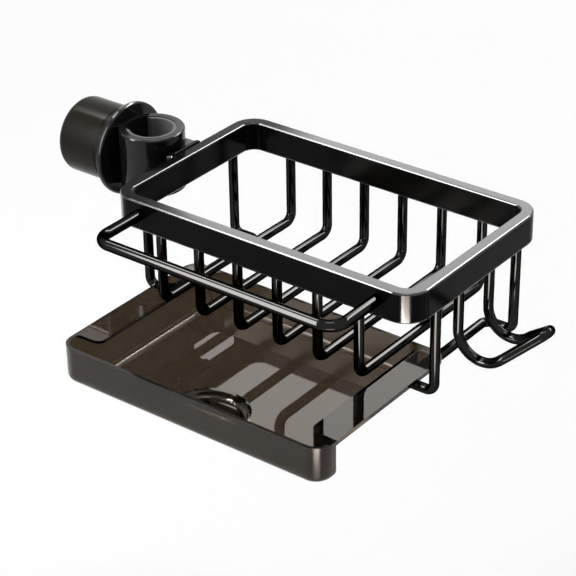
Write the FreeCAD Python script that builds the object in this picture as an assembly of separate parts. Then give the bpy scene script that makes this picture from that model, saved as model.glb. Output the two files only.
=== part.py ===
import FreeCAD, Part
import math
import os

# Sponge holder: a wire basket on a flat-bar rim, with a pull-out drip tray and a pipe clamp.
# Millimetres. The origin is where the pipe's axis crosses the clamp screw's axis. +Z is up along
# the pipe, +X runs from the clamp to the basket, and -Y is the front, where the tray pulls out.

Vector = FreeCAD.Vector
X_AXIS = Vector(1, 0, 0)
Y_AXIS = Vector(0, 1, 0)
Z_AXIS = Vector(0, 0, 1)

# Pipe, collar and liner
pipe_radius = 12.5
liner_wall = 2.0
liner_inset = 0.5
liner_margin = 1.0
collar_wall = 4.6
collar_height = 36.0
collar_edge = 0.8

# Neck and bracket between the collar and the rim
neck_length = 0.9
neck_width = 25.0
neck_height = 17.0
plate_thickness = 2.0
plate_width = 26.0
plate_overhang = 1.0
plate_corner = 3.0
bracket_offset = 4.3

# Rim, bent from flat bar
rim_length = 200.0
rim_width = 123.0
rim_height = 17.4
rim_bar = 7.0
rim_corner = 14.0
rim_edge = 0.6

# Wire that the ribs, runners and hook are bent from
wire_diameter = 5.6

# Basket ribs
rib_count = 6
rib_margin_left = 32.85
rib_margin_right = 35.65
rib_drop = 40.8
rib_bend = 5.5

# Towel rail in front of the rim, of thicker wire
rail_diameter = 6.4
rail_inset = 22.0
rail_reach = 36.6
rail_rise = 1.7
rail_bend = 9.5

# Hook under the right bar
hook_spread = 29.2
hook_leg = 22.6
hook_bend = 15.0
hook_slope = 41.0
hook_straight = 0.5
hook_taper = 26.0
hook_turn = 12.0
hook_nose = 5.0

# Runners that hang under the end bars and carry the tray
runner_front_inset = 25.5
runner_back_inset = 20.5
runner_inset = 17.2
runner_bend = 5.0

# Drip tray
tray_headroom = 1.4
tray_clearance = 0.15
flange_thickness = 2.6
flange_overhang = 5.2
pan_side_gap = 4.5
tray_wall = 2.0
tray_length = 114.0
tray_depth = 21.7
tray_grip = 27.5
tray_front_corner = 10.0
tray_back_corner = 9.0
tray_notch_corner = 3.0
tray_inner_round = 2.0
lobe_straight = 3.0
recess_width = 40.0
recess_depth = 16.2
recess_drop = 3.5
recess_offset = 19.0

# Guard disc and threaded boss on the collar
guard_radius = 27.5
guard_thickness = 3.6
guard_proud = 0.1
guard_edge = 1.2
boss_wall = 1.6
bush_radius = 7.0

# Screw, shoe and pad
screw_radius = 4.0
screw_clearance = 0.05
tip_radius = 3.0
tip_depth = 1.5
shoulder_gap = 0.1
shoe_radius = 8.0
shoe_thickness = 2.5
shoe_clearance = 0.4
pad_thickness = 2.0
jaw_travel = 4.0
travel_spare = 0.5

# Hand knob
knob_radius = 22.5
knob_length = 33.8
knob_gap = 1.5
knob_wall = 4.0
knob_end = 6.0
knob_round = 5.0
knob_lip = 1.0
knob_groove_inset = 4.0
knob_groove_width = 0.8
knob_groove_depth = 0.5
hub_radius = 8.0
hub_length = 9.0
hub_gap = 5.0
cap_radius = 12.0
cap_thickness = 2.0
cap_gap = 0.5

# One overrun for every cut
overrun = 5.0

# Sizes worked out from the ones above
wire_radius = wire_diameter / 2
bore_radius = pipe_radius + liner_wall
collar_radius = bore_radius + collar_wall
plate_x = collar_radius + neck_length
rim_x = plate_x + plate_thickness
rim_middle = rim_x + rim_length / 2
rim_top = rim_height / 2
rim_bottom = -rim_top
rib_y = (rim_width - rim_bar) / 2
rib_z = rim_bottom - rib_drop
rib_pitch = (rim_length - rib_margin_left - rib_margin_right) / (rib_count - 1)
flange_top = rib_z - wire_radius - tray_headroom
flange_bottom = flange_top - flange_thickness
runner_z = flange_bottom - tray_clearance - wire_radius
runner_front = rim_width / 2 - runner_front_inset
runner_back = rim_width / 2 - runner_back_inset
leg_reach = (rim_length - rim_bar) / 2
runner_reach = leg_reach - runner_inset
tray_outer_round = tray_inner_round + tray_wall
lobe_length = tray_front_corner + tray_notch_corner + lobe_straight
guard_x = -(collar_radius + guard_proud)
shoe_x = -(pipe_radius + pad_thickness)
pocket_x = shoe_x - shoe_thickness - jaw_travel - travel_spare
pocket_radius = shoe_radius + shoe_clearance
knob_x = guard_x - knob_gap
knob_outer_x = knob_x - knob_length
hub_end_x = knob_outer_x + knob_end + hub_length
boss_x = hub_end_x + hub_gap


def rounded_outline(corners, radii, z):
    """A closed wire at height z whose corners are tangent arcs; corners are (x, y) in order."""
    points = [Vector(x, y, z) for x, y in corners]
    return Part.Wire(bent_edges(points + points[:1], radii, True))


def bent_edges(points, radii, closed):
    """Straight edges along the points with a tangent arc at each bend.

    A closed path repeats its first point, and then each corner has a radius.
    """
    bends = []
    last = len(points) - 1
    for index in range(1, last + (1 if closed else 0)):
        here = points[index]
        after = points[1] if index == last else points[index + 1]
        radius = radii[index % last] if closed else radii[index - 1]
        bends.append(bend_arc(points[index - 1], here, after, radius))
    edges = []
    start = bends[-1][2] if closed else points[0]
    for first, middle, end in bends:
        if start.distanceToPoint(first) > Part.Precision.confusion():
            edges.append(Part.LineSegment(start, first).toShape())
        edges.append(Part.Arc(first, middle, end).toShape())
        start = end
    if not closed:
        edges.append(Part.LineSegment(start, points[-1]).toShape())
    return edges


def bend_arc(before, corner, after, radius):
    """Start, middle and end of the arc that rounds a corner."""
    back = (before - corner).normalize()
    ahead = (after - corner).normalize()
    half_angle = back.getAngle(ahead) / 2
    tangent = radius / math.tan(half_angle)
    inward = (back + ahead).normalize()
    middle = corner + inward * (radius / math.sin(half_angle) - radius)
    return corner + back * tangent, middle, corner + ahead * tangent


def bent_wire(points, radii, radius):
    """A round wire along the points, bent at each inner point."""
    path = Part.Wire(bent_edges(points, radii, False))
    heading = points[1] - points[0]
    section = Part.Wire(Part.makeCircle(radius, points[0], heading))
    return path.makePipeShell([section], True, False)


def prism(wire, height):
    """A solid that rises from a flat closed wire."""
    return Part.Face(wire).extrude(Z_AXIS * height)


def rectangle(half_x, back_y, front_y):
    """Corners of a rectangle about the basket's middle line, counterclockwise from the back right."""
    left = rim_middle - half_x
    right = rim_middle + half_x
    return [(right, back_y), (left, back_y), (left, front_y), (right, front_y)]


def edges_at(shape, height):
    """The edges of a shape that lie at one height."""
    flat = Part.Precision.confusion()
    return [
        edge for edge in shape.Edges
        if abs(edge.BoundBox.ZMin - height) < flat and abs(edge.BoundBox.ZMax - height) < flat
    ]


def round_edges(shape, centre_x, radius):
    """The circular edges about the screw's axis at one X, with one radius."""
    near = Part.Precision.confusion()
    return [
        edge for edge in shape.Edges
        if isinstance(edge.Curve, Part.Circle)
        and abs(edge.Curve.Center.x - centre_x) < near
        and abs(edge.Curve.Radius - radius) < near
    ]


def disc_along_x(radius, from_x, to_x):
    """A cylinder on the screw's axis between two X places, the larger first."""
    return Part.makeCylinder(radius, from_x - to_x, Vector(from_x, 0, 0), -X_AXIS)


def make_rim():
    outer = rounded_outline(
        rectangle(rim_length / 2, rim_width / 2, -rim_width / 2), [rim_corner] * 4, rim_bottom)
    inner_corner = rim_corner - rim_bar
    inner = rounded_outline(
        rectangle(rim_length / 2 - rim_bar, rim_width / 2 - rim_bar, rim_bar - rim_width / 2),
        [inner_corner] * 4, rim_bottom)
    ring = prism(outer, rim_height).cut(prism(inner, rim_height))
    return ring.makeChamfer(rim_edge, edges_at(ring, rim_top) + edges_at(ring, rim_bottom))


def make_rib(x):
    points = [
        Vector(x, -rib_y, rim_bottom), Vector(x, -rib_y, rib_z),
        Vector(x, rib_y, rib_z), Vector(x, rib_y, rim_bottom),
    ]
    return bent_wire(points, [rib_bend] * 2, wire_radius)


def make_front_rail():
    half = rim_length / 2 - rail_inset
    face_y = -rim_width / 2
    front_y = face_y - rail_reach
    points = [
        Vector(rim_middle - half, face_y, rail_rise), Vector(rim_middle - half, front_y, rail_rise),
        Vector(rim_middle + half, front_y, rail_rise), Vector(rim_middle + half, face_y, rail_rise),
    ]
    return bent_wire(points, [rail_bend] * 2, rail_diameter / 2)


def make_runner(side):
    """One runner; side is -1 for the left and 1 for the right."""
    leg_x = rim_middle + side * leg_reach
    run_x = rim_middle + side * runner_reach
    points = [
        Vector(leg_x, -runner_front, rim_bottom), Vector(leg_x, -runner_front, runner_z),
        Vector(run_x, -runner_front, runner_z), Vector(run_x, runner_back, runner_z),
        Vector(leg_x, runner_back, runner_z), Vector(leg_x, runner_back, rim_bottom),
    ]
    return bent_wire(points, [runner_bend] * 4, wire_radius)


def make_hook():
    """Two legs that turn out and up, draw together and join in a round nose."""
    slope = math.radians(hook_slope)
    taper = math.radians(hook_taper)
    half = hook_spread / 2
    leg_x = rim_middle + leg_reach
    bend_tangent = hook_bend * math.tan((math.pi / 2 + slope) / 2)
    turn_tangent = hook_turn * math.tan(taper / 2)
    corner_z = rim_bottom - hook_leg - bend_tangent
    to_turn = bend_tangent + hook_straight + turn_tangent
    to_nose = to_turn + half / math.tan(taper)

    def on_slope(distance, y):
        return Vector(leg_x + distance * math.cos(slope), y, corner_z + distance * math.sin(slope))

    points = [
        Vector(leg_x, -half, rim_bottom), on_slope(0, -half), on_slope(to_turn, -half),
        on_slope(to_nose, 0),
        on_slope(to_turn, half), on_slope(0, half), Vector(leg_x, half, rim_bottom),
    ]
    radii = [hook_bend, hook_turn, hook_nose, hook_turn, hook_bend]
    return bent_wire(points, radii, wire_radius)


def tray_corners(inset, pan_half, half, back_y, front_y):
    """The tray's stepped outline: a narrow pan and a full-width lobe at the front."""
    step_y = front_y + lobe_length
    left = rim_middle - half + inset
    right = rim_middle + half - inset
    pan_left = rim_middle - pan_half + inset
    pan_right = rim_middle + pan_half - inset
    return [
        (pan_right, back_y - inset), (pan_left, back_y - inset),
        (pan_left, step_y - inset), (left, step_y - inset),
        (left, front_y + inset), (right, front_y + inset),
        (right, step_y - inset), (pan_right, step_y - inset),
    ]


def make_tray():
    half = runner_reach + wire_radius + flange_overhang
    pan_half = runner_reach - wire_radius - pan_side_gap
    back_y = tray_grip - runner_front
    front_y = back_y - tray_length
    floor_z = flange_top - tray_depth

    def stepped(inset, z):
        front = tray_front_corner - inset
        back = tray_back_corner - inset
        convex = tray_notch_corner
        concave = tray_notch_corner + inset
        radii = [back, back, concave, convex, front, front, convex, concave]
        return rounded_outline(tray_corners(inset, pan_half, half, back_y, front_y), radii, z)

    pan = prism(stepped(0, floor_z), tray_depth)
    pan = pan.makeFillet(tray_outer_round, edges_at(pan, floor_z))
    plate_radii = [tray_back_corner] * 2 + [tray_front_corner] * 2
    plate_outline = rounded_outline(rectangle(half, back_y, front_y), plate_radii, flange_bottom)
    plate = prism(plate_outline, flange_thickness)

    inside_z = floor_z + tray_wall
    inside = prism(stepped(tray_wall, inside_z), tray_depth)
    inside = inside.makeFillet(tray_inner_round, edges_at(inside, inside_z))
    shell = pan.fuse(plate).cut(inside)

    # Finger recess behind the front wall
    middle = Vector(rim_middle + recess_offset, front_y, 0)
    shelf_z = flange_top - recess_drop

    def half_ellipse(grow, z, top):
        across = recess_width / 2 + grow
        deep = recess_depth + grow
        curve = Part.Ellipse(Vector(0, 0, 0), max(across, deep), min(across, deep))
        outline = Part.Wire(curve.toShape())
        if deep > across:
            outline.rotate(Vector(0, 0, 0), Z_AXIS, 90)
        outline.translate(middle + Z_AXIS * z)
        return prism(outline, top - z)

    def behind_front(inset):
        return Part.makeBox(
            recess_width * 2, recess_depth * 2, tray_depth * 2,
            middle + Vector(-recess_width, inset, floor_z))

    scoop_wall = half_ellipse(tray_wall, shelf_z - tray_wall, flange_top)
    shell = shell.fuse(scoop_wall.common(behind_front(tray_wall / 2)))
    hollow = half_ellipse(0, shelf_z, flange_top + overrun)
    return shell.cut(hollow.common(behind_front(tray_wall))).removeSplitter()


def make_plate():
    height = rim_height + 2 * plate_overhang
    corners = [
        (plate_width / 2, height / 2), (-plate_width / 2, height / 2),
        (-plate_width / 2, -height / 2), (plate_width / 2, -height / 2),
    ]
    blank = prism(rounded_outline(corners, [plate_corner] * 4, 0), plate_thickness)
    upright = FreeCAD.Placement(
        Vector(plate_x, bracket_offset, 0), FreeCAD.Rotation(Y_AXIS, Z_AXIS, X_AXIS))
    blank.Placement = upright.multiply(blank.Placement)
    return blank


def make_collar():
    foot = -collar_height / 2
    tube = Part.makeCylinder(collar_radius, collar_height, Vector(0, 0, foot))
    tube = tube.makeFillet(collar_edge, edges_at(tube, foot) + edges_at(tube, -foot))
    neck = Part.makeBox(
        plate_x, neck_width, neck_height, Vector(0, bracket_offset - neck_width / 2, -neck_height / 2))
    guard = disc_along_x(guard_radius, guard_x + guard_thickness, guard_x)
    guard_rims = round_edges(guard, guard_x, guard_radius)
    guard_rims += round_edges(guard, guard_x + guard_thickness, guard_radius)
    guard = guard.makeFillet(guard_edge, guard_rims)
    boss = disc_along_x(pocket_radius + boss_wall, guard_x + guard_thickness, boss_x)
    body = tube.fuse([neck, guard, boss])
    bore = Part.makeCylinder(bore_radius, collar_height * 2, Vector(0, 0, -collar_height))
    pocket = disc_along_x(pocket_radius, 0, pocket_x)
    bush_hole = disc_along_x(bush_radius, 0, boss_x - overrun)
    return body.cut([bore, pocket, bush_hole]).removeSplitter()


def make_liner():
    height = collar_height - 2 * liner_inset
    foot = Vector(0, 0, -height / 2)
    sleeve = Part.makeCylinder(bore_radius, height, foot).cut(Part.makeCylinder(pipe_radius, height, foot))
    gap = pocket_radius + liner_margin
    slot = Part.makeBox(bore_radius * 2, gap * 2, height, Vector(-bore_radius * 2, -gap, -height / 2))
    return sleeve.cut(slot)


def make_bush():
    return disc_along_x(bush_radius, pocket_x, boss_x).cut(
        disc_along_x(screw_radius + screw_clearance, pocket_x + overrun, boss_x - overrun))


def make_shoe():
    back_x = shoe_x - shoe_thickness
    socket = disc_along_x(tip_radius + screw_clearance, back_x + tip_depth, back_x - overrun)
    return disc_along_x(shoe_radius, shoe_x, back_x).cut(socket)


def make_pad():
    blank = disc_along_x(shoe_radius, 0, shoe_x)
    pipe = Part.makeCylinder(pipe_radius, shoe_radius * 4, Vector(0, 0, -shoe_radius * 2))
    return blank.cut(pipe)


def make_screw():
    shoulder_x = shoe_x - shoe_thickness - shoulder_gap
    end_x = knob_outer_x + cap_thickness + cap_gap
    tip = disc_along_x(tip_radius, shoulder_x + tip_depth - shoulder_gap, shoulder_x)
    return disc_along_x(screw_radius, shoulder_x, end_x).fuse(tip).removeSplitter()


def make_knob():
    body = disc_along_x(knob_radius, knob_x, knob_outer_x)
    body = body.makeFillet(knob_round, round_edges(body, knob_outer_x, knob_radius))
    body = body.makeFillet(knob_lip, round_edges(body, knob_x, knob_radius))
    end_x = knob_outer_x + knob_end
    hollow = disc_along_x(knob_radius - knob_wall, knob_x + overrun, end_x)
    hub = disc_along_x(hub_radius, hub_end_x, end_x)
    cap_seat = disc_along_x(cap_radius, knob_outer_x + cap_thickness, knob_outer_x - overrun)
    screw_hole = disc_along_x(screw_radius, knob_x, knob_outer_x)
    groove_x = knob_x - knob_groove_inset
    groove_end_x = groove_x - knob_groove_width
    groove = disc_along_x(knob_radius + overrun, groove_x, groove_end_x).cut(
        disc_along_x(knob_radius - knob_groove_depth, groove_x, groove_end_x))
    return body.cut(hollow).fuse(hub).cut([cap_seat, screw_hole, groove]).removeSplitter()


def make_cap():
    return disc_along_x(cap_radius, knob_outer_x + cap_thickness, knob_outer_x)


def save(name, shape):
    solids = shape.Solids
    if len(solids) != 1 or not solids[0].isValid():
        raise RuntimeError(name + " is not one valid solid")
    solids[0].exportStep("parts/" + name + ".step")
    print(name, round(solids[0].Volume))


def main():
    os.makedirs("parts", exist_ok=True)
    save("rim_band", make_rim())
    for index in range(rib_count):
        save("basket_rib_" + str(index + 1), make_rib(rim_x + rib_margin_left + index * rib_pitch))
    save("front_rail", make_front_rail())
    save("side_hook", make_hook())
    save("tray_runner_left", make_runner(-1))
    save("tray_runner_right", make_runner(1))
    save("drip_tray", make_tray())
    save("bracket_plate", make_plate())
    save("clamp_collar", make_collar())
    save("collar_liner", make_liner())
    save("thread_bush", make_bush())
    save("pad_shoe", make_shoe())
    save("clamp_pad", make_pad())
    save("clamp_screw", make_screw())
    save("knob_body", make_knob())
    save("knob_cap", make_cap())


main()
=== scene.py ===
import bmesh
import bpy
import math
from mathutils import Matrix, Quaternion, Vector


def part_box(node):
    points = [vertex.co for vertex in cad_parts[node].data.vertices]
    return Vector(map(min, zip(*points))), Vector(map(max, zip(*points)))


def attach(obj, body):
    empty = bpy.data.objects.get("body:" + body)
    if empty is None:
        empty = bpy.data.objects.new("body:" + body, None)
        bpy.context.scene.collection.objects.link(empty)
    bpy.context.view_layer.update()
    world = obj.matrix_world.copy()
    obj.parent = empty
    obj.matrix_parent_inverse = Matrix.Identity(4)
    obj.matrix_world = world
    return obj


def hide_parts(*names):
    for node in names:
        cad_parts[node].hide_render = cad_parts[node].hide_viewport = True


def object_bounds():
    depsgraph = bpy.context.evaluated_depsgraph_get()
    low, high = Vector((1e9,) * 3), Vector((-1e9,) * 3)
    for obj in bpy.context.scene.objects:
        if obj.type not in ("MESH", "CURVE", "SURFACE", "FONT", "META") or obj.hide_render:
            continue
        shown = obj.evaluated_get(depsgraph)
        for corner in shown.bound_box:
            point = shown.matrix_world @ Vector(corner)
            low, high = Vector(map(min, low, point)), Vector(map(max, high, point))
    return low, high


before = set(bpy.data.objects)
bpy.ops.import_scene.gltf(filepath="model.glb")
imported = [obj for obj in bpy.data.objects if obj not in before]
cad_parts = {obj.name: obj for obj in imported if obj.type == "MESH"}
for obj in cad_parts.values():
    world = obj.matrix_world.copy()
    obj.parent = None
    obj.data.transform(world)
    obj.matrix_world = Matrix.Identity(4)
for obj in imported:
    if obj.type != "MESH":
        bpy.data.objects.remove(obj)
cadBox = [list(corner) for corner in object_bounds()]
print("frame loaded,", len(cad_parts), "nodes")

xAxis = Vector((1, 0, 0))
yAxis = Vector((0, 1, 0))
zAxis = Vector((0, 0, 1))


# Working with the mesh tools

meshStyle = {  # angles in degrees
    "closeBy": 1e-5, "parallel": 0.999, "facing": 0.9, "flatAngle": 1, "smoothAngle": 32, "cutAngle": 40}


def activate(piece):
    bpy.ops.object.select_all(action="DESELECT")
    bpy.context.view_layer.objects.active = piece
    piece.select_set(True)


def startEdit(piece):
    activate(piece)
    bpy.ops.object.mode_set(mode="EDIT")


def endEdit():
    bpy.ops.object.mode_set(mode="OBJECT")


def pick(piece, kind, test):  # kind is VERT, EDGE or FACE
    bpy.ops.mesh.select_mode(type=kind)
    bpy.ops.mesh.select_all(action="DESELECT")
    mesh = bmesh.from_edit_mesh(piece.data)
    for item in {"VERT": mesh.verts, "EDGE": mesh.edges, "FACE": mesh.faces}[kind]:
        if test(item):
            item.select_set(True)
    mesh.select_flush_mode()
    bmesh.update_edit_mesh(piece.data)


def pickAll():
    bpy.ops.mesh.select_all(action="SELECT")


def extrude(move):
    bpy.ops.mesh.extrude_region_move(TRANSFORM_OT_translate={"value": move})


def cut(place, normal, **settings):
    pickAll()
    bpy.ops.mesh.bisect(plane_co=place, plane_no=normal, **settings)


def faceOut():
    pickAll()
    bpy.ops.mesh.normals_make_consistent(inside=False)


def mergeFlat():  # faces in one plane become one face
    pickAll()
    bpy.ops.mesh.dissolve_limited(angle_limit=math.radians(meshStyle["flatAngle"]))


def near(first, second):
    return abs(first - second) < meshStyle["closeBy"]


def middle(edge):
    return (edge.verts[0].co + edge.verts[1].co) / 2


def along(edge, direction):
    return abs((edge.verts[1].co - edge.verts[0].co).normalized().dot(direction)) > meshStyle["parallel"]


def lies(edge, axis, place):  # both ends at one place on axis 0, 1 or 2
    return all(near(vert.co[axis], place) for vert in edge.verts)


def roundCorners(sheet, radius, steps, test):
    pick(sheet, "VERT", test)
    bpy.ops.mesh.bevel(offset_type="OFFSET", offset=radius, segments=steps, affect="VERTICES")


def roundEdges(piece, radius, steps, test):
    pick(piece, "EDGE", test)
    bpy.ops.mesh.bevel(offset_type="OFFSET", offset=radius, segments=steps, affect="EDGES")


def roundRing(piece, radius, steps, test):  # the same from outside edit mode
    startEdit(piece)
    roundEdges(piece, radius, steps, test)
    endEdit()


def settle(name, size=(1, 1, 1)):
    piece = bpy.context.object
    piece.name = name
    piece.data.name = name
    piece.scale = size
    bpy.ops.object.transform_apply(location=True, rotation=True, scale=True)
    return piece


def addBlock(name, low, high):
    bpy.ops.object.select_all(action="DESELECT")
    bpy.ops.mesh.primitive_cube_add(size=1, location=(low + high) / 2)
    return settle(name, high - low)


def addRound(name, radius, start, end, sides):
    bpy.ops.object.select_all(action="DESELECT")
    axis = end - start
    bpy.ops.mesh.primitive_cylinder_add(
        vertices=sides, radius=radius, depth=axis.length, location=(start + end) / 2,
        rotation=axis.to_track_quat("Z", "Y").to_euler())
    return settle(name)


def addSheet(name, low, high):  # a flat rectangle at the low corner's height
    bpy.ops.object.select_all(action="DESELECT")
    size = high - low
    bpy.ops.mesh.primitive_plane_add(size=1, location=(low.x + size.x / 2, low.y + size.y / 2, low.z))
    return settle(name, (size.x, size.y, 1))


def raiseSheet(sheet, height):
    pick(sheet, "FACE", lambda face: True)
    extrude((0, 0, height))
    faceOut()


def applyModifier(piece, kind, **settings):
    activate(piece)
    modifier = piece.modifiers.new(kind, kind)
    for name, value in settings.items():
        setattr(modifier, name, value)
    bpy.ops.object.modifier_apply(modifier=modifier.name)


def combine(piece, tool, operation):
    applyModifier(piece, "BOOLEAN", operation=operation, object=tool, solver="EXACT")
    bpy.data.objects.remove(tool)


def softenEdges(piece, width, steps, angle):
    applyModifier(
        piece, "BEVEL", width=width, segments=steps, limit_method="ANGLE",
        angle_limit=math.radians(angle), use_clamp_overlap=True)


def handOver(piece, body, finish, node):
    activate(piece)
    bpy.ops.object.shade_smooth_by_angle(angle=math.radians(meshStyle["smoothAngle"]))
    applyModifier(piece, "WEIGHTED_NORMAL", keep_sharp=True, weight=100)  # flat faces stay flat
    piece.data.materials.clear()
    piece.data.materials.append(finish)
    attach(piece, body)
    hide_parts(node)
    print("made", piece.name, len(piece.data.polygons), "faces")


# Finishes: a wrapped socket takes part in sums, and a finish builds its own nodes

class Field:
    def __init__(self, socket):
        self.socket = socket

    def maths(self, operation, first, second):
        node = self.socket.id_data.nodes.new("ShaderNodeMath")
        node.operation = operation
        feed(node.inputs[0], first)
        feed(node.inputs[1], second)
        return Field(node.outputs[0])

    def __add__(self, other):
        return self.maths("ADD", self, other)

    def __radd__(self, other):
        return self.maths("ADD", other, self)

    def __sub__(self, other):
        return self.maths("SUBTRACT", self, other)

    def __rsub__(self, other):
        return self.maths("SUBTRACT", other, self)

    def __mul__(self, other):
        return self.maths("MULTIPLY", self, other)

    def __rmul__(self, other):
        return self.maths("MULTIPLY", other, self)

    def __pow__(self, other):
        return self.maths("POWER", self, other)


def feed(socket, value):
    if isinstance(value, Field):
        socket.id_data.links.new(value.socket, socket)
    else:
        socket.default_value = value


class Finish:  # the nodes of a material, or of the world
    def __init__(self, owner, shader, constants):
        owner.use_nodes = True
        self.owner = owner
        self.tree = owner.node_tree
        self.shader = self.tree.nodes[shader]
        self.set(constants)

    def set(self, sockets):
        for name, value in sockets.items():
            feed(self.shader.inputs[name], value)

    def node(self, kind, settings, sockets, output=0):
        made = self.tree.nodes.new(kind)
        for name, value in settings.items():
            setattr(made, name, value)
        for name, value in sockets.items():
            feed(made.inputs[name], value)
        return Field(made.outputs[output])

    def place(self, stretch=(1, 1, 1)):
        spot = self.node("ShaderNodeTexCoord", {}, {}, "Object")
        return self.node("ShaderNodeMapping", {}, {"Vector": spot, "Scale": stretch})

    def coordinate(self, axis):
        return self.node("ShaderNodeSeparateXYZ", {}, {"Vector": self.place()}, axis)

    def aside(self, axis, centre=0):  # distance to either side of a centre plane
        return ((self.coordinate(axis) - centre) ** 2) ** 0.5

    def noise(self, scale, detail, stretch=(1, 1, 1)):
        return self.node("ShaderNodeTexNoise", {}, {
            "Vector": self.place(stretch), "Scale": scale, "Detail": detail}, "Fac")

    def tone(self, factor, look):  # 6, 7 and output 2 are the Mix node's colours
        return self.node("ShaderNodeMix", {"data_type": "RGBA"}, {
            0: factor, 6: look["dark"], 7: look["light"]}, 2)

    def between(self, value, low, high):  # 0 below low, 1 above high, smooth between
        return self.node("ShaderNodeMapRange", {"interpolation_type": "SMOOTHSTEP"}, {
            "Value": value, "From Min": low, "From Max": high})

    def relief(self, height, depth, strength):
        self.set({"Normal": self.node("ShaderNodeBump", {}, {
            "Height": height, "Distance": depth, "Strength": strength}, "Normal")})


def paint(name, constants):
    return Finish(bpy.data.materials.new(name), "Principled BSDF", constants)


def squares(values):
    return [value ** 2 for value in values]


def either(first, second):  # two masks as one
    return first + second - first * second


# In each look a noise is its scale, detail and stretch, and relief is depth and strength

def bandBlack():
    look = {
        "dark": (0.0030, 0.0029, 0.0026, 1), "light": (0.0065, 0.0061, 0.0054, 1),
        "cloud": (70, 3), "rub": (55, 5, (1, 1, 8)), "rubRange": (0.62, 0.80), "peel": (1500, 2),
        "rough": 0.13, "cloudRough": 0.05, "rubRough": 0.08, "relief": (0.00002, 0.2),
        "sheenHeight": (0.0074, 0.0080), "faceHeight": (0.00855, 0.00868), "shadeLeftEnd": (0.04, 0.08),
        "centre": 0.122, "highlightAcross": 0.0935, "highlightDeep": 0.0593, "highlightReach": 0.0034}
    finish = paint("bandBlack", {"IOR": 1.12, "Coat IOR": 1.6, "Coat Roughness": 0.10})
    cloud = finish.noise(*look["cloud"])
    rub = finish.between(finish.noise(*look["rub"]), *look["rubRange"])
    lift = finish.coordinate("Z") ** 2
    # painted sheen: a coat on the top face and its upper edges only, so the tops read lighter than the sides
    edge = finish.between(lift, *squares(look["sheenHeight"]))
    flat = finish.between(lift, *squares(look["faceHeight"]))
    paintedShadeLeft = 1 - finish.between(finish.coordinate("X"), *look["shadeLeftEnd"])  # painted shade: the left end's top face loses its coat and reads dark, standing in for a dark reflection; its edges still shine
    across = finish.aside("X", look["centre"]) - look["highlightAcross"]
    deep = finish.aside("Y") - look["highlightDeep"]
    away = across ** 2 + deep ** 2  # distance from the painted highlight, a coat patch on each rounded corner where this view's highlight falls
    # painted highlight: the coat goes only on the strip of each rounded corner where the highlight falls
    corner = 1 - finish.between(away, 0, look["highlightReach"] ** 2)
    finish.set({
        "Base Color": finish.tone(cloud, look),
        "Roughness": look["rough"] + cloud * look["cloudRough"] + rub * look["rubRough"],
        # Coat Weight paints sheen on the tops, a highlight on each corner and shade on the left end's top
        "Coat Weight": either(edge, corner) * (1 - flat * paintedShadeLeft),
    })
    finish.relief(finish.noise(*look["peel"]), *look["relief"])
    return finish.owner


def wireBlack():
    look = {
        "dark": (0.016, 0.0157, 0.0153, 1), "light": (0.021, 0.0205, 0.020, 1),
        "cloud": (90, 3), "rub": (120, 4, (3, 1, 1)), "rubRange": (0.62, 0.80), "peel": (1500, 2),
        "rough": 0.03, "cloudRough": 0.04, "rubRough": 0.06, "relief": (0.00002, 0.2)}
    finish = paint("wireBlack", {"Metallic": 1.0, "Specular Tint": (0.22, 0.22, 0.22, 1)})
    cloud = finish.noise(*look["cloud"])
    rub = finish.between(finish.noise(*look["rub"]), *look["rubRange"])
    finish.set({
        "Base Color": finish.tone(cloud, look),
        "Roughness": look["rough"] + cloud * look["cloudRough"] + rub * look["rubRough"],
    })
    finish.relief(finish.noise(*look["peel"]), *look["relief"])
    return finish.owner


def castBlack():
    look = {
        "dark": (0.0050, 0.0048, 0.0046, 1), "light": (0.0120, 0.0112, 0.0105, 1),
        "cloud": (90, 3), "skin": (1100, 3), "rough": 0.10, "cloudRough": 0.08, "relief": (0.00003, 0.3),
        "highlightHeight": (0.0264, 0.0270)}
    finish = paint("castBlack", {"IOR": 1.33, "Coat IOR": 1.6, "Coat Roughness": 0.05})
    cloud = finish.noise(*look["cloud"])
    finish.set({
        "Base Color": finish.tone(cloud, look),
        "Roughness": look["rough"] + cloud * look["cloudRough"],
        # painted highlight: a coat only on the collar's top edge and ring, so a bright line shows along its
        # top edge
        "Coat Weight": finish.between(finish.coordinate("Z"), *look["highlightHeight"]),
    })
    finish.relief(finish.noise(*look["skin"]), *look["relief"])
    return finish.owner


def knobBlack():
    look = {
        "dark": (0.0120, 0.0100, 0.0070, 1), "light": (0.0220, 0.0185, 0.0125, 1),
        "cloud": (60, 3), "skin": (1300, 2), "rough": 0.12, "cloudRough": 0.06, "skinRough": 0.03,
        "relief": (0.00002, 0.3)}
    finish = paint("knobBlack", {"IOR": 1.17})
    cloud = finish.noise(*look["cloud"])
    skin = finish.noise(*look["skin"])
    finish.set({
        "Base Color": finish.tone(cloud, look),
        "Roughness": look["rough"] + cloud * look["cloudRough"] + skin * look["skinRough"],
    })
    finish.relief(skin, *look["relief"])
    return finish.owner


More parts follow.
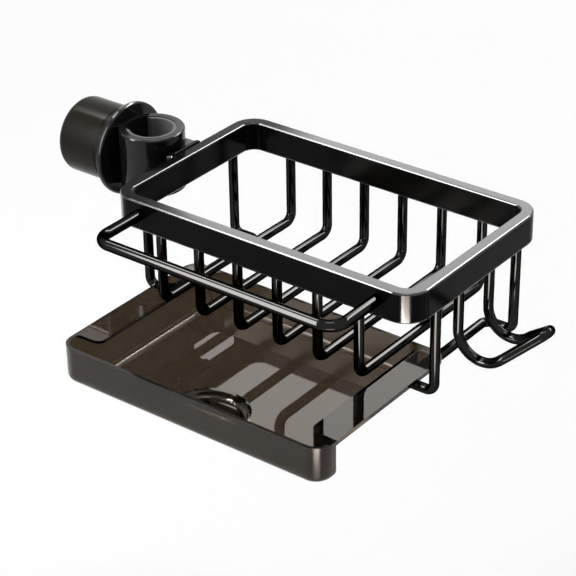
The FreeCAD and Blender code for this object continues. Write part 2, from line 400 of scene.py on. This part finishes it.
def smokeClear():
    look = {
        "dark": (0.030, 0.021, 0.013, 1), "light": (0.044, 0.031, 0.020, 1),
        "cloud": (25, 2), "smear": (45, 5, (1, 0.3, 1)), "smearRange": (0.58, 0.78), "wave": (40, 1),
        "rough": 0.02, "smearRough": 0.04, "frontRough": 0.12, "bendRough": 0.26, "relief": (0.00010, 0.10),
        "frontWall": (0.1175, 0.1195), "backWall": (-0.0160, -0.0135), "pan": (-0.1100, -0.1060),
        "centre": 0.122, "footStart": (0.0655, 0.0668), "footEnd": (0.0690, 0.0700)}
    finish = paint("smokeClear", {
        "IOR": 1.45, "Transmission Weight": 1.0, "Specular Tint": (1.0, 0.91, 0.82, 1)})
    smear = finish.between(finish.noise(*look["smear"]), *look["smearRange"])
    front = finish.between(0 - finish.coordinate("Y"), *look["frontWall"])
    back = finish.between(finish.coordinate("Y"), *look["backWall"])
    pan = finish.between(finish.coordinate("Y"), *look["pan"])
    across = finish.aside("X", look["centre"])
    start = finish.between(across, *look["footStart"])
    foot = pan * start * (1 - finish.between(across, *look["footEnd"]))  # the round foot of a side wall
    rough = look["rough"] + smear * look["smearRough"] + front * look["frontRough"]
    finish.set({
        "Base Color": finish.tone(finish.noise(*look["cloud"]), look),
        "Roughness": rough + either(back, foot) * look["bendRough"],
    })
    finish.relief(finish.noise(*look["wave"]), *look["relief"])
    return finish.owner


def rubberGrey():
    look = {
        "dark": (0.070, 0.070, 0.072, 1), "light": (0.120, 0.120, 0.120, 1),
        "cloud": (140, 3), "grain": (2200, 3), "rough": 0.55, "grainRough": 0.2, "relief": (0.00008, 0.5)}
    finish = paint("rubberGrey", {"IOR": 1.5})
    grain = finish.noise(*look["grain"])
    finish.set({
        "Base Color": finish.tone(finish.noise(*look["cloud"]), look),
        "Roughness": look["rough"] + grain * look["grainRough"],
    })
    finish.relief(grain, *look["relief"])
    return finish.owner


def turnedMetal(name, dark, light):
    look = {
        "dark": dark, "light": light, "turning": (60, 4, (60, 1, 1)), "rough": 0.22, "turningRough": 0.16,
        "relief": (0.00004, 0.4)}
    finish = paint(name, {"Metallic": 1.0})
    turning = finish.noise(*look["turning"])
    finish.set({
        "Base Color": finish.tone(turning, look),
        "Roughness": look["rough"] + turning * look["turningRough"],
    })
    finish.relief(turning, *look["relief"])
    return finish.owner


finishes = {
    "band": bandBlack(),
    "wire": wireBlack(),
    "cast": castBlack(),
    "knob": knobBlack(),
    "smoke": smokeClear(),
    "rubber": rubberGrey(),
    "brass": turnedMetal("turnedBrass", (0.55, 0.40, 0.18, 1), (0.75, 0.58, 0.30, 1)),
    "steel": turnedMetal("turnedSteel", (0.45, 0.45, 0.46, 1), (0.66, 0.66, 0.67, 1)),
}
print("finishes made:", len(finishes))


# Rim bent from flat bar

rimStyle = {"bar": 0.007, "corner": 0.014, "cornerSteps": 20, "edge": 0.0009, "edgeSteps": 4}


def makeRim():
    low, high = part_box("rim_band")
    rim = addSheet("rimBand", low, high)
    startEdit(rim)
    roundCorners(rim, rimStyle["corner"], rimStyle["cornerSteps"], lambda vert: True)
    pick(rim, "FACE", lambda face: True)
    bpy.ops.mesh.inset(thickness=rimStyle["bar"], use_even_offset=True)
    bpy.ops.mesh.delete(type="FACE")  # the inset leaves the middle selected
    raiseSheet(rim, high.z - low.z)
    endEdit()
    softenEdges(rim, rimStyle["edge"], rimStyle["edgeSteps"], meshStyle["smoothAngle"])
    handOver(rim, "rack", finishes["band"], "rim_band")


makeRim()


# Bent wires: each follows straight runs with a round bend at every corner

wireStyle = {"sides": 40, "bendSteps": 16}


def bentWire(name, points, radii, thickness):
    heading = points[1] - points[0]
    bpy.ops.object.select_all(action="DESELECT")
    bpy.ops.mesh.primitive_circle_add(
        vertices=wireStyle["sides"], radius=thickness / 2, fill_type="NOTHING", location=points[0],
        rotation=heading.to_track_quat("Z", "Y").to_euler())
    wire = settle(name)
    startEdit(wire)
    bpy.ops.mesh.select_mode(type="EDGE")
    pickAll()
    here = points[0]
    for before, corner, after, radius in zip(points, points[1:], points[2:], radii):
        back = (before - corner).normalized()
        ahead = (after - corner).normalized()
        half = back.angle(ahead) / 2
        reach = radius / math.tan(half)
        extrude(corner + back * reach - here)
        bpy.ops.mesh.spin(
            steps=wireStyle["bendSteps"], angle=math.pi - 2 * half, axis=back.cross(ahead),
            center=corner + (back + ahead).normalized() * (radius / math.sin(half)))
        here = corner + ahead * reach
    extrude(points[-1] - here)
    pickAll()
    bpy.ops.mesh.fill_holes(sides=0)
    faceOut()
    endEdit()
    return wire


ribStyle = {"bend": 0.0055, "count": 6}


def makeRibs():
    for number in range(1, ribStyle["count"] + 1):
        node = "basket_rib_" + str(number)
        low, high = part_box(node)
        radius = (high.x - low.x) / 2
        x = low.x + radius
        front = low.y + radius
        back = high.y - radius
        foot = low.z + radius
        points = [
            Vector((x, front, high.z)), Vector((x, front, foot)),
            Vector((x, back, foot)), Vector((x, back, high.z))]
        rib = bentWire("basketRib" + str(number), points, [ribStyle["bend"]] * 2, radius * 2)
        handOver(rib, "rack", finishes["wire"], node)


makeRibs()

railStyle = {"bend": 0.0095}


def makeFrontRail():
    low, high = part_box("front_rail")
    radius = (high.z - low.z) / 2
    height = low.z + radius
    left = low.x + radius
    right = high.x - radius
    front = low.y + radius
    points = [
        Vector((left, high.y, height)), Vector((left, front, height)),
        Vector((right, front, height)), Vector((right, high.y, height))]
    rail = bentWire("frontRail", points, [railStyle["bend"]] * 2, radius * 2)
    handOver(rail, "rack", finishes["wire"], "front_rail")


makeFrontRail()

runnerStyle = {"bend": 0.005, "wire": 0.0056}


def makeRunner(side):
    node = "tray_runner_" + side
    low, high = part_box(node)
    radius = runnerStyle["wire"] / 2
    outer, inner = low.x + radius, high.x - radius
    if side == "right":
        outer, inner = inner, outer
    front = low.y + radius
    back = high.y - radius
    foot = low.z + radius
    points = [
        Vector((outer, front, high.z)), Vector((outer, front, foot)), Vector((inner, front, foot)),
        Vector((inner, back, foot)), Vector((outer, back, foot)), Vector((outer, back, high.z))]
    runner = bentWire("trayRunner" + side.title(), points, [runnerStyle["bend"]] * 4, radius * 2)
    handOver(runner, "rack", finishes["wire"], node)


makeRunner("left")
makeRunner("right")

hookStyle = {  # slope and taper in degrees
    "wire": 0.0056, "leg": 0.0226, "bend": 0.015, "slope": 41, "straight": 0.0005,
    "taper": 26, "turn": 0.012, "nose": 0.005}


def makeHook():
    low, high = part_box("side_hook")
    slope = math.radians(hookStyle["slope"])
    taper = math.radians(hookStyle["taper"])
    half = high.y - hookStyle["wire"] / 2
    legX = low.x + hookStyle["wire"] / 2
    bendReach = hookStyle["bend"] * math.tan((math.pi / 2 + slope) / 2)
    toTurn = bendReach + hookStyle["straight"] + hookStyle["turn"] * math.tan(taper / 2)
    toNose = toTurn + half / math.tan(taper)
    corner = Vector((legX, 0, high.z - hookStyle["leg"] - bendReach))
    rise = Vector((math.cos(slope), 0, math.sin(slope)))
    points = [
        Vector((legX, -half, high.z)), corner - yAxis * half, corner + rise * toTurn - yAxis * half,
        corner + rise * toNose,
        corner + rise * toTurn + yAxis * half, corner + yAxis * half, Vector((legX, half, high.z))]
    radii = [hookStyle[bend] for bend in ("bend", "turn", "nose", "turn", "bend")]
    hook = bentWire("sideHook", points, radii, hookStyle["wire"])
    handOver(hook, "rack", finishes["wire"], "side_hook")


makeHook()


# Drip tray: a stepped pan with side flanges and a finger recess behind its front wall

trayStyle = {  # pocketSpare and cutSpare are shares of spare, so that no two tops meet
    "wall": 0.002, "flange": 0.0026, "flangeOut": 0.0153, "lobe": 0.016,
    "frontCorner": 0.010, "backCorner": 0.009, "notchCorner": 0.003, "lobeCorner": 0.0045, "cornerSteps": 10,
    "floorRound": 0.002, "footSteps": 6, "recessWidth": 0.040, "recessDepth": 0.0162, "recessDrop": 0.0035,
    "recessOffset": 0.019, "recessTaper": 0.92, "recessFoot": 0.0012, "recessSides": 96,
    "edge": 0.0004, "edgeSteps": 3, "slip": 0.0002, "spare": 0.002, "pocketSpare": 0.8, "cutSpare": 0.4}


def trayCorner(sheet, radius, test):
    roundCorners(sheet, radius, trayStyle["cornerSteps"], test)


def roundFoot(block, z, radius):
    roundEdges(block, radius, trayStyle["footSteps"], lambda edge: lies(edge, 2, z))


def outerBlock(low, high):  # the tray's full outline, a little too tall until its top is trimmed
    block = addSheet("dripTray", low, high)
    startEdit(block)
    trayCorner(block, trayStyle["frontCorner"], lambda vert: near(vert.co.y, low.y))
    trayCorner(block, trayStyle["backCorner"], lambda vert: near(vert.co.y, high.y))
    raiseSheet(block, high.z + trayStyle["spare"] - low.z)
    endEdit()
    return block


def notchBlock(name, low, high, turned):  # the space beside the pan and under a flange
    step = low.y + trayStyle["lobe"]
    pan = low.x + trayStyle["flangeOut"]
    side = low.x - trayStyle["slip"]
    back = high.y + trayStyle["slip"]
    spare = trayStyle["spare"]
    block = addSheet(
        name, Vector((low.x - spare, step - 2 * trayStyle["lobeCorner"], low.z - spare)),
        Vector((pan + 2 * trayStyle["backCorner"], high.y + spare, low.z - spare)))

    def insideTray(face):
        spot = face.calc_center_median()
        return (spot.x > side and spot.y < step) or (spot.x > pan and spot.y < back)

    startEdit(block)
    for x in (side, pan):
        cut(xAxis * x, xAxis)
    for y in (step, back):
        cut(yAxis * y, yAxis)
    pick(block, "FACE", insideTray)
    bpy.ops.mesh.delete(type="FACE")
    mergeFlat()
    for x, y, corner in ((side, step, "lobeCorner"), (pan, step, "notchCorner"), (pan, back, "backCorner")):
        trayCorner(block, trayStyle[corner], lambda vert: near(vert.co.x, x) and near(vert.co.y, y))
    if turned:
        pickAll()
        bpy.ops.transform.resize(value=(-1, 1, 1), center_override=((low.x + high.x) / 2, 0, 0))
    raiseSheet(block, high.z - trayStyle["flange"] - low.z + spare)
    endEdit()
    return block


def insideBlock(low, high):  # the tray's hollow, a pan with a wider lobe at the front
    wall = trayStyle["wall"]
    step = low.y + trayStyle["lobe"] - wall
    panLow = low.x + trayStyle["flangeOut"] + wall
    panHigh = high.x - trayStyle["flangeOut"] - wall
    left = low.x + wall
    right = high.x - wall
    front = low.y + wall
    back = high.y - wall
    floor = low.z + wall
    block = addSheet("trayInside", Vector((panLow, front, floor)), Vector((panHigh, back, floor)))
    startEdit(block)
    cut(yAxis * step, yAxis)
    for edgeX, reach in ((panLow, left - panLow), (panHigh, right - panHigh)):
        pick(block, "EDGE", lambda edge: near(middle(edge).x, edgeX) and middle(edge).y < step)
        extrude((reach, 0, 0))
    mergeFlat()
    trayCorner(block, trayStyle["frontCorner"] - wall, lambda vert: near(vert.co.y, front))
    trayCorner(block, trayStyle["backCorner"] - wall, lambda vert: near(vert.co.y, back))
    trayCorner(block, trayStyle["lobeCorner"] - wall, lambda vert: near(vert.co.y, step) and (
        near(vert.co.x, left) or near(vert.co.x, right)))
    trayCorner(block, trayStyle["notchCorner"] + wall, lambda vert: near(vert.co.y, step) and (
        near(vert.co.x, panLow) or near(vert.co.x, panHigh)))
    raiseSheet(block, high.z + 2 * trayStyle["spare"] - floor)
    roundFoot(block, floor, trayStyle["floorRound"])
    endEdit()
    return block


def recessBlock(name, grow, drop, top, centre, setBack):
    bpy.ops.object.select_all(action="DESELECT")
    height = top - drop
    bpy.ops.mesh.primitive_cylinder_add(
        vertices=trayStyle["recessSides"], radius=1, depth=1,
        location=(centre.x, centre.y, drop + height / 2))
    block = settle(name, (trayStyle["recessWidth"] / 2 + grow, trayStyle["recessDepth"] + grow, height))
    startEdit(block)
    pick(block, "FACE", lambda face: face.normal.z < -meshStyle["facing"])
    bpy.ops.transform.resize(
        value=(trayStyle["recessTaper"], trayStyle["recessTaper"], 1),
        center_override=(centre.x, centre.y, drop))
    roundFoot(block, drop, trayStyle["recessFoot"] + grow / 2)
    cut(yAxis * (centre.y + setBack), yAxis, clear_inner=True, use_fill=True)  # leaves what is behind it
    endEdit()
    return block


def makeTray():
    low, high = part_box("drip_tray")
    wall = trayStyle["wall"]
    pocketTop = high.z + trayStyle["pocketSpare"] * trayStyle["spare"]
    cutTop = high.z + trayStyle["cutSpare"] * trayStyle["spare"]
    tray = outerBlock(low, high)
    combine(tray, notchBlock("notchLeft", low, high, False), "DIFFERENCE")
    combine(tray, notchBlock("notchRight", low, high, True), "DIFFERENCE")
    startEdit(tray)
    roundFoot(tray, low.z, trayStyle["floorRound"] + wall)
    endEdit()
    combine(tray, insideBlock(low, high), "DIFFERENCE")
    centre = Vector(((low.x + high.x) / 2 + trayStyle["recessOffset"], low.y, 0))
    shelf = high.z - trayStyle["recessDrop"]
    combine(tray, recessBlock("recessWall", wall, shelf - wall, pocketTop, centre, wall / 2), "UNION")
    combine(tray, recessBlock("recessCut", 0, shelf, cutTop, centre, wall), "DIFFERENCE")
    startEdit(tray)
    cut(zAxis * high.z, zAxis, clear_outer=True, use_fill=True)
    endEdit()
    softenEdges(tray, trayStyle["edge"], trayStyle["edgeSteps"], meshStyle["cutAngle"])
    handOver(tray, "tray", finishes["smoke"], "drip_tray")


makeTray()


# Clamp: bracket plate, and collar with its neck, guard and boss

plateStyle = {"corner": 0.003, "cornerSteps": 8, "edge": 0.0005, "edgeSteps": 3}


def makePlate():
    low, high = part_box("bracket_plate")
    plate = addBlock("bracketPlate", low, high)
    roundRing(plate, plateStyle["corner"], plateStyle["cornerSteps"], lambda edge: along(edge, xAxis))
    softenEdges(plate, plateStyle["edge"], plateStyle["edgeSteps"], meshStyle["smoothAngle"])
    handOver(plate, "rack", finishes["band"], "bracket_plate")


makePlate()

collarStyle = {
    "wall": 0.0046, "lip": 0.0005, "edge": 0.0010, "edgeSteps": 4, "sides": 128,
    "neckWidth": 0.025, "neckHeight": 0.017, "neckEdge": 0.002, "neckSteps": 4,
    "guard": 0.0036, "guardEdge": 0.0012, "guardSteps": 5, "guardProud": 0.0001,
    "bossWall": 0.0016, "pocket": 0.0084, "bossSides": 64, "soft": 0.0004, "softSteps": 2}


def makeCollar():
    low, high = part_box("clamp_collar")
    plateLow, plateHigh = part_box("bracket_plate")
    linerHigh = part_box("collar_liner")[1]
    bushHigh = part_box("thread_bush")[1]
    sides = collarStyle["sides"]
    bossSides = collarStyle["bossSides"]
    bore = linerHigh.x
    radius = bore + collarStyle["wall"]
    top = linerHigh.z + collarStyle["lip"]
    foot = -top
    collar = addRound("clampCollar", radius, zAxis * foot, zAxis * top, sides)
    roundRing(collar, collarStyle["edge"], collarStyle["edgeSteps"], lambda edge: (
        lies(edge, 2, foot) or lies(edge, 2, top)))
    neckSize = Vector((high.x, collarStyle["neckWidth"], collarStyle["neckHeight"]))
    neckLow = Vector((0, (plateLow.y + plateHigh.y - neckSize.y) / 2, -neckSize.z / 2))
    neck = addBlock("collarNeck", neckLow, neckLow + neckSize)
    roundRing(neck, collarStyle["neckEdge"], collarStyle["neckSteps"], lambda edge: along(edge, xAxis))
    combine(collar, neck, "UNION")
    guardOuter = -(radius + collarStyle["guardProud"])
    guardInner = guardOuter + collarStyle["guard"]
    guard = addRound("guardDisc", high.y, xAxis * guardOuter, xAxis * guardInner, sides)
    roundRing(guard, collarStyle["guardEdge"], collarStyle["guardSteps"], lambda edge: (
        lies(edge, 0, guardOuter) or lies(edge, 0, guardInner)))
    combine(collar, guard, "UNION")
    bossRadius = collarStyle["pocket"] + collarStyle["bossWall"]
    combine(collar, addRound("screwBoss", bossRadius, xAxis * low.x, xAxis * guardInner, bossSides), "UNION")
    combine(collar, addRound("pipeBore", bore, zAxis * (2 * foot), zAxis * (2 * top), sides), "DIFFERENCE")
    pocket = addRound("padPocket", collarStyle["pocket"], xAxis * bushHigh.x, Vector(), bossSides)
    combine(collar, pocket, "DIFFERENCE")
    bushHole = addRound("bushHole", bushHigh.y, xAxis * (2 * low.x), Vector(), bossSides)
    combine(collar, bushHole, "DIFFERENCE")
    softenEdges(collar, collarStyle["soft"], collarStyle["softSteps"], meshStyle["cutAngle"])
    handOver(collar, "rack", finishes["cast"], "clamp_collar")


makeCollar()


# Carried-over pieces keep their solid and take a new finish

carried = {
    "collar_liner": "rubber", "thread_bush": "brass", "pad_shoe": "steel", "clamp_pad": "rubber",
    "clamp_screw": "steel", "knob_cap": "knob"}

for nodeName, finishName in carried.items():
    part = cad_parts[nodeName]
    part.data.materials.clear()
    part.data.materials.append(finishes[finishName])
print("carried over:", len(carried))


# Hand knob

knobStyle = {
    "round": 0.005, "roundSteps": 10, "lip": 0.001, "lipSteps": 4, "wall": 0.004, "end": 0.006,
    "hub": 0.008, "hubLength": 0.009, "cap": 0.012, "capDepth": 0.002, "screw": 0.004,
    "grooveInset": 0.004, "grooveWidth": 0.0008, "grooveDepth": 0.0005, "soft": 0.0003, "softSteps": 2,
    "sides": 128, "hollowSides": 96, "hubSides": 64}


def makeKnob():
    low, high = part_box("knob_body")
    radius = high.y
    hollowSides = knobStyle["hollowSides"]
    hubSides = knobStyle["hubSides"]
    knob = addRound("knobBody", radius, xAxis * low.x, xAxis * high.x, knobStyle["sides"])
    roundRing(knob, knobStyle["round"], knobStyle["roundSteps"], lambda edge: lies(edge, 0, low.x))
    roundRing(knob, knobStyle["lip"], knobStyle["lipSteps"], lambda edge: lies(edge, 0, high.x))
    grooveEnd = high.x - knobStyle["grooveInset"]
    grooveStart = grooveEnd - knobStyle["grooveWidth"]
    startEdit(knob)
    for x in (grooveStart, grooveEnd):
        cut(xAxis * x, xAxis)
    pick(knob, "FACE", lambda face: grooveStart < face.calc_center_median().x < grooveEnd)
    bpy.ops.mesh.extrude_region_shrink_fatten(
        TRANSFORM_OT_shrink_fatten={"value": -knobStyle["grooveDepth"]})
    endEdit()
    endX = low.x + knobStyle["end"]
    over = knobStyle["lip"]
    hollowRadius = radius - knobStyle["wall"]
    hollow = addRound("knobHollow", hollowRadius, xAxis * endX, xAxis * (high.x + over), hollowSides)
    combine(knob, hollow, "DIFFERENCE")
    hubEnd = endX + knobStyle["hubLength"]
    hub = addRound("knobHub", knobStyle["hub"], xAxis * (endX - over), xAxis * hubEnd, hubSides)
    combine(knob, hub, "UNION")
    seatEnd = low.x + knobStyle["capDepth"]
    seat = addRound("capSeat", knobStyle["cap"], xAxis * (low.x - over), xAxis * seatEnd, hollowSides)
    combine(knob, seat, "DIFFERENCE")
    screwHole = addRound("screwHole", knobStyle["screw"], xAxis * low.x, xAxis * high.x, hubSides)
    combine(knob, screwHole, "DIFFERENCE")
    softenEdges(knob, knobStyle["soft"], knobStyle["softSteps"], meshStyle["cutAngle"])
    handOver(knob, "knob", finishes["knob"], "knob_body")


makeKnob()


# Floor, lamps and camera

stageStyle = {
    "floorDrop": 0.30, "floorSize": 12.0, "floorRough": 0.9, "pale": (0.86, 0.86, 0.86, 1), "glow": 0.17,
    "fade": (0.6, 1.8), "white": (1, 1, 1, 1), "ambient": 0.10, "cardNear": 0.98}
lamps = {  # radiance lights everything, and card shows only in gloss and through the clear tray
    "backPanel": {
        "azimuth": 211.6, "elevation": 29, "distance": 3.0, "size": (0.95, 1.3), "radiance": 1.8},
    "tallPanel": {
        "azimuth": -34, "elevation": 25, "distance": 2.6, "size": (0.56, 2.8), "radiance": 10, "card": 20,
        "roll": 19},
    "widePanel": {
        "azimuth": 170, "elevation": 43, "distance": 3.0, "size": (2.9, 0.42), "radiance": 10, "card": 20},
    "topPanel": {
        "azimuth": 45, "elevation": 87, "distance": 2.4, "size": (0.8, 0.55), "radiance": 10},
    "sidePanel": {
        "azimuth": -101, "elevation": 56, "distance": 2.6, "size": (0.60, 0.50), "radiance": 10, "card": 20},
    "cornerStrip": {
        "azimuth": 38, "elevation": -24, "distance": 0.592, "size": (0.26, 0.034), "card": 6.5,
        "colour": (1, 0.84, 0.70)},
    "legStrip": {
        "azimuth": 40, "elevation": -27.7, "distance": 0.606, "size": (0.30, 0.05), "card": 22,
        "colour": (1, 0.94, 0.90)},
}
cameraStyle = {  # offset is from the middle of the rim's top
    "offset": (0.57480, -0.77774, 0.49964), "azimuth": 37.673, "elevation": 29.838, "roll": -0.878,
    "lens": 126.16, "sensor": 36}


def direction(azimuth, elevation):
    turn = math.radians(azimuth)
    rise = math.radians(elevation)
    return Vector((
        math.sin(turn) * math.cos(rise), -math.cos(turn) * math.cos(rise), math.sin(rise)))


def seenRay(finish):  # 1 for rays that see the setting itself
    camera, glossy, through = [
        finish.node("ShaderNodeLightPath", {}, {}, "Is " + ray + " Ray")
        for ray in ("Camera", "Glossy", "Transmission")]
    return camera + glossy + through


def makeFloor():
    bpy.ops.object.select_all(action="DESELECT")
    bpy.ops.mesh.primitive_plane_add(size=stageStyle["floorSize"], location=(
        0, 0, cadBox[0][2] - stageStyle["floorDrop"]))
    floor = settle("floor")
    finish = paint("paleFloor", {
        "Base Color": stageStyle["pale"], "Roughness": stageStyle["floorRough"], "Specular IOR Level": 0.0})
    seen = seenRay(finish)
    glow = finish.node("ShaderNodeEmission", {}, {"Strength": seen * stageStyle["glow"]})
    lit = finish.node("ShaderNodeAddShader", {}, {0: Field(finish.shader.outputs[0]), 1: glow})
    distance = finish.node("ShaderNodeVectorMath", {"operation": "LENGTH"}, {0: finish.place()}, "Value")
    plain = finish.node("ShaderNodeEmission", {}, {"Strength": seen})  # far off it is plain white
    whole = finish.node("ShaderNodeMixShader", {}, {
        0: finish.between(distance, *stageStyle["fade"]), 1: lit, 2: plain})
    feed(finish.tree.nodes["Material Output"].inputs["Surface"], whole)
    floor.data.materials.append(finish.owner)


def makeLamp(name, style, kind, aim):
    data = bpy.data.lights.new(name, "AREA")
    data.shape = "RECTANGLE"
    data.size, data.size_y = style["size"]
    data.energy = style[kind] * math.pi * data.size * data.size_y
    data.color = style.get("colour", stageStyle["white"][:3])
    lamp = bpy.data.objects.new(name, data)
    bpy.context.scene.collection.objects.link(lamp)
    away = direction(style["azimuth"], style["elevation"])
    roll = Quaternion(zAxis, math.radians(style.get("roll", 0)))
    nearer = 1 if kind == "radiance" else stageStyle["cardNear"]  # clear of the lamp that it goes with
    lamp.location = aim + away * style["distance"] * nearer
    lamp.rotation_euler = (away.to_track_quat("Z", "Y") @ roll).to_euler()
    lamp.visible_diffuse = kind == "radiance"


def makeLamps():
    aim = (Vector(cadBox[0]) + Vector(cadBox[1])) / 2
    for name, style in lamps.items():
        for kind in ("radiance", "card"):
            if kind in style:
                makeLamp(name + kind.title(), style, kind, aim)


def makeWorld():
    studio = Finish(bpy.data.worlds.new("studio"), "Background", {"Color": stageStyle["white"]})
    ambient = stageStyle["ambient"]
    studio.set({"Strength": ambient + seenRay(studio) * (1 - ambient)})
    bpy.context.scene.world = studio.owner


def makeCamera():
    rimLow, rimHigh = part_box("rim_band")
    rimTop = Vector(((rimLow.x + rimHigh.x) / 2, (rimLow.y + rimHigh.y) / 2, rimHigh.z))
    data = bpy.data.cameras.new("photoView")
    data.sensor_width = cameraStyle["sensor"]
    data.lens = cameraStyle["lens"]
    camera = bpy.data.objects.new("photoView", data)
    bpy.context.scene.collection.objects.link(camera)
    back = direction(cameraStyle["azimuth"], cameraStyle["elevation"])
    level = zAxis.cross(back).normalized()
    upright = back.cross(level)
    roll = math.radians(cameraStyle["roll"])
    right = level * math.cos(roll) + upright * math.sin(roll)
    up = upright * math.cos(roll) - level * math.sin(roll)
    pose = Matrix((right, up, back)).transposed().to_4x4()
    pose.translation = rimTop + Vector(cameraStyle["offset"])
    camera.matrix_world = pose
    bpy.context.scene.camera = camera


makeFloor()
makeLamps()
makeWorld()
makeCamera()
bpy.context.scene.view_settings.view_transform = "Standard"
print("stage set")
